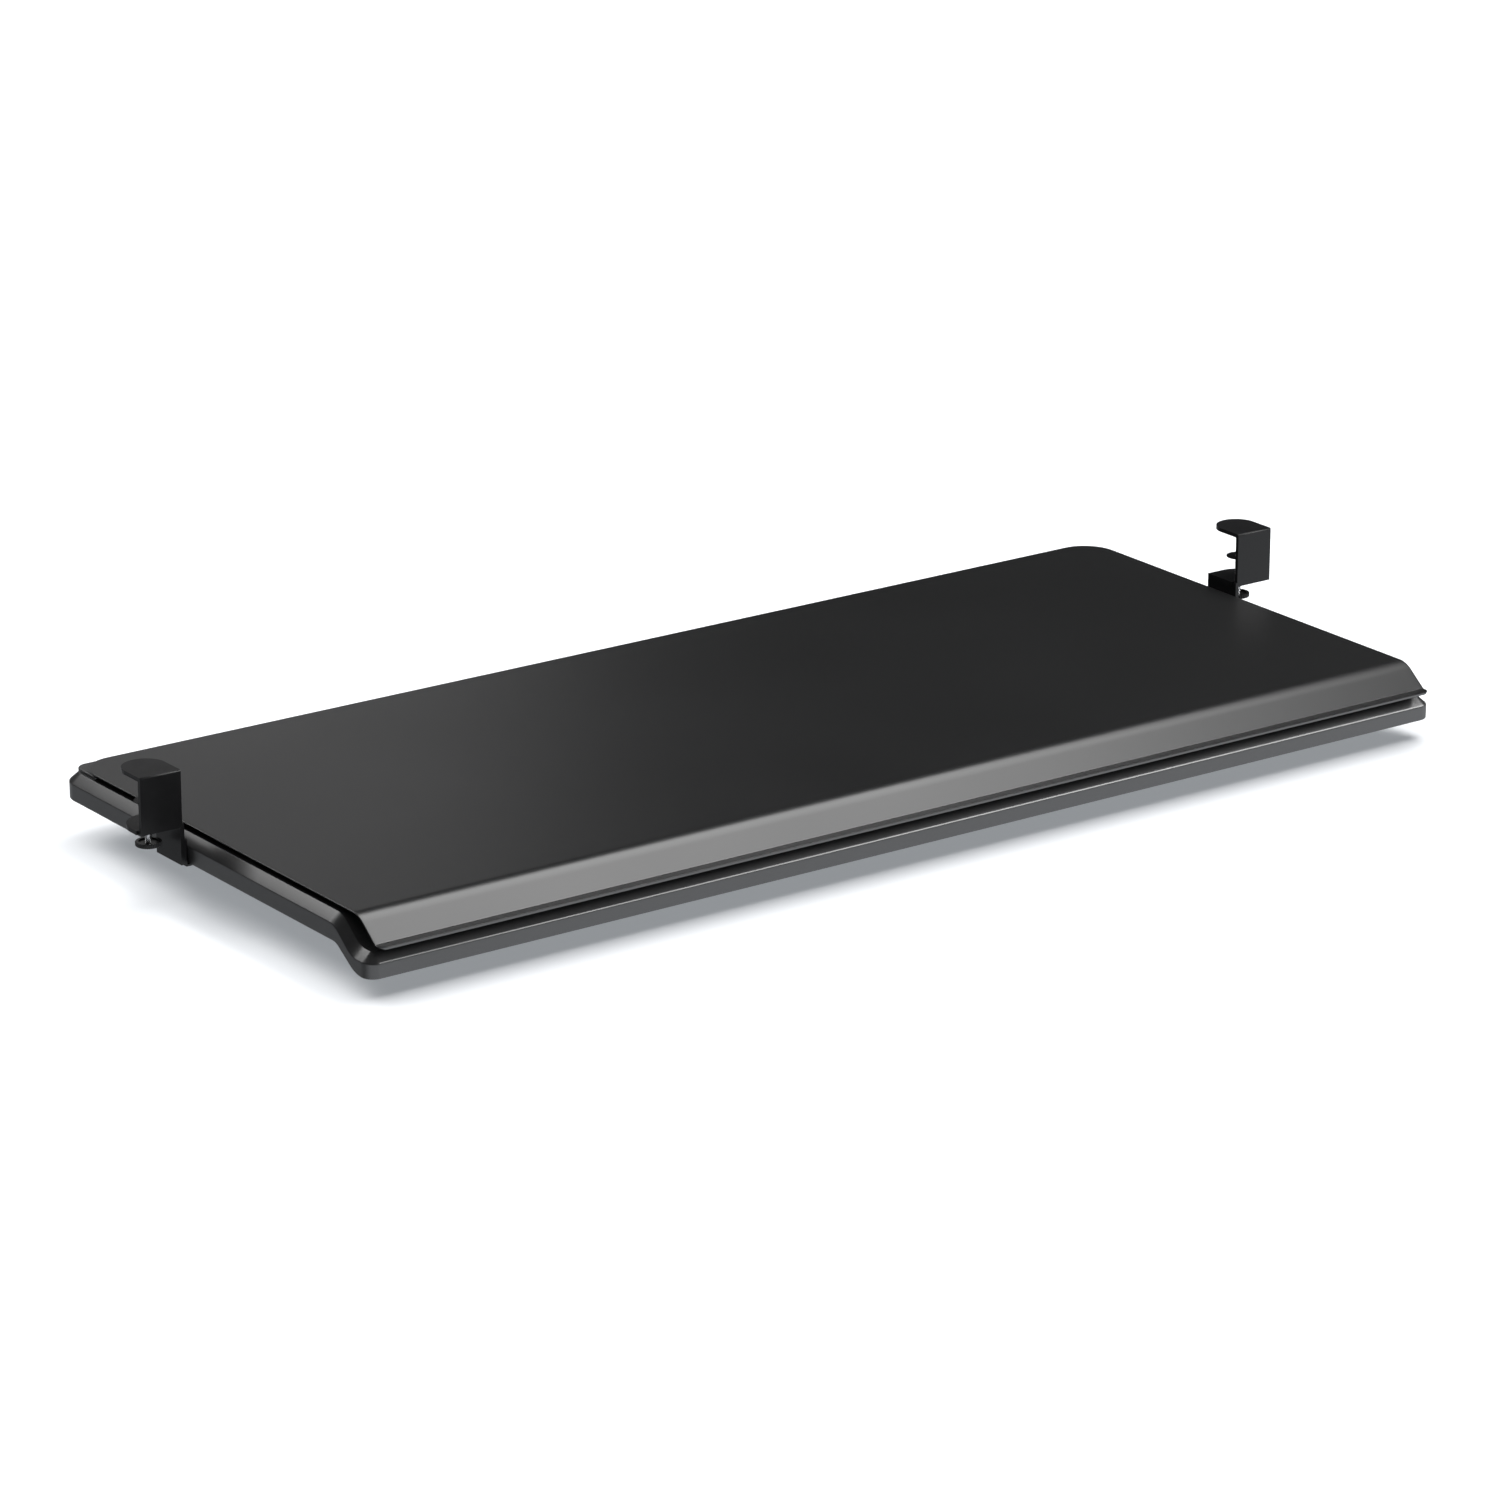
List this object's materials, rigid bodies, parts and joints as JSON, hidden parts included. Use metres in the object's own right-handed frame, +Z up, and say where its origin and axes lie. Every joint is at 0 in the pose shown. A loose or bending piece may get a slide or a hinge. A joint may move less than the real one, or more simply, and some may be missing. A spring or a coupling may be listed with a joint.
{
  "type": "under desk keyboard drawer",
  "caption": "Flat pull-out keyboard shelf that hangs under a desk edge on screw clamps, with side slides, a stepped front nose and a thin top panel ending in a curved lip.",
  "frame": {"origin": "midway between the two clamps, on the back face of the clamp plates (the desk's front edge) and on the underside of the top jaws (the desk's top surface)", "axes": "+X to the user's right, +Y back under the desk, +Z up; rest pose has the drawer pulled out to its typing position"},
  "size_m": [0.8436, 0.346, 0.0707],
  "materials": {
    "tray_plastic": "satin near-black moulded plastic, fine texture",
    "panel_plastic": "satin near-black moulded plastic, fine texture",
    "clamp_paint": "satin black powder coat on steel",
    "screw_steel": "bright turned steel thread",
    "knob_black": "black oxide, knurled",
    "pad_black": "black painted steel disc",
    "galvanised_steel": "zinc-coated sheet steel",
    "zinc_steel": "zinc-plated screw steel",
    "rubber": "matt black rubber",
    "nylon": "natural nylon"
  },
  "bodies": {
    "clamps": {"left_bracket": "clamp_paint", "right_bracket": "clamp_paint", "left_clamp_nut": "clamp_paint", "right_clamp_nut": "clamp_paint", "left_slide_arm": "clamp_paint", "right_slide_arm": "clamp_paint", "arm_rivets": "clamp_paint", "left_runner": "galvanised_steel", "right_runner": "galvanised_steel", "runner_screws": "zinc_steel", "left_glides": "nylon", "right_glides": "nylon"},
    "tray": {"base_tray": "tray_plastic", "top_panel": "panel_plastic", "panel_screws": "zinc_steel", "left_track": "galvanised_steel", "right_track": "galvanised_steel", "track_screws": "zinc_steel", "left_bumpers": "rubber", "right_bumpers": "rubber"},
    "left_pad": {"left_pad": "pad_black"},
    "left_screw": {"left_clamp_screw": "screw_steel", "left_knob": "knob_black"},
    "right_pad": {"right_pad": "pad_black"},
    "right_screw": {"right_clamp_screw": "screw_steel", "right_knob": "knob_black"}
  },
  "joints": [
    {"name": "tray_slide", "type": "slide", "parent": "clamps", "child": "tray", "axis": [0, 1, 0], "range_m": [-0.071, 0.139]},
    {"name": "left_pad_lift", "type": "slide", "parent": "clamps", "child": "left_pad", "axis": [0, 0, 1], "range_m": [-0.0109, 0.0064]},
    {"name": "left_screw_turn", "type": "hinge", "parent": "left_pad", "child": "left_screw", "pos_m": [-0.407, 0.0132, -0.0449], "axis": [0, 0, 1], "range_deg": [-5640, 3320]},
    {"name": "right_pad_lift", "type": "slide", "parent": "clamps", "child": "right_pad", "axis": [0, 0, 1], "range_m": [-0.0109, 0.0064]},
    {"name": "right_screw_turn", "type": "hinge", "parent": "right_pad", "child": "right_screw", "pos_m": [0.407, 0.0132, -0.0449], "axis": [0, 0, 1], "range_deg": [-5640, 3320]}
  ],
  "couplings": [
    {"joint": "left_screw_turn", "follows": "left_pad_lift", "rad_per_m": 8976},
    {"joint": "right_screw_turn", "follows": "right_pad_lift", "rad_per_m": 8976}
  ]
}
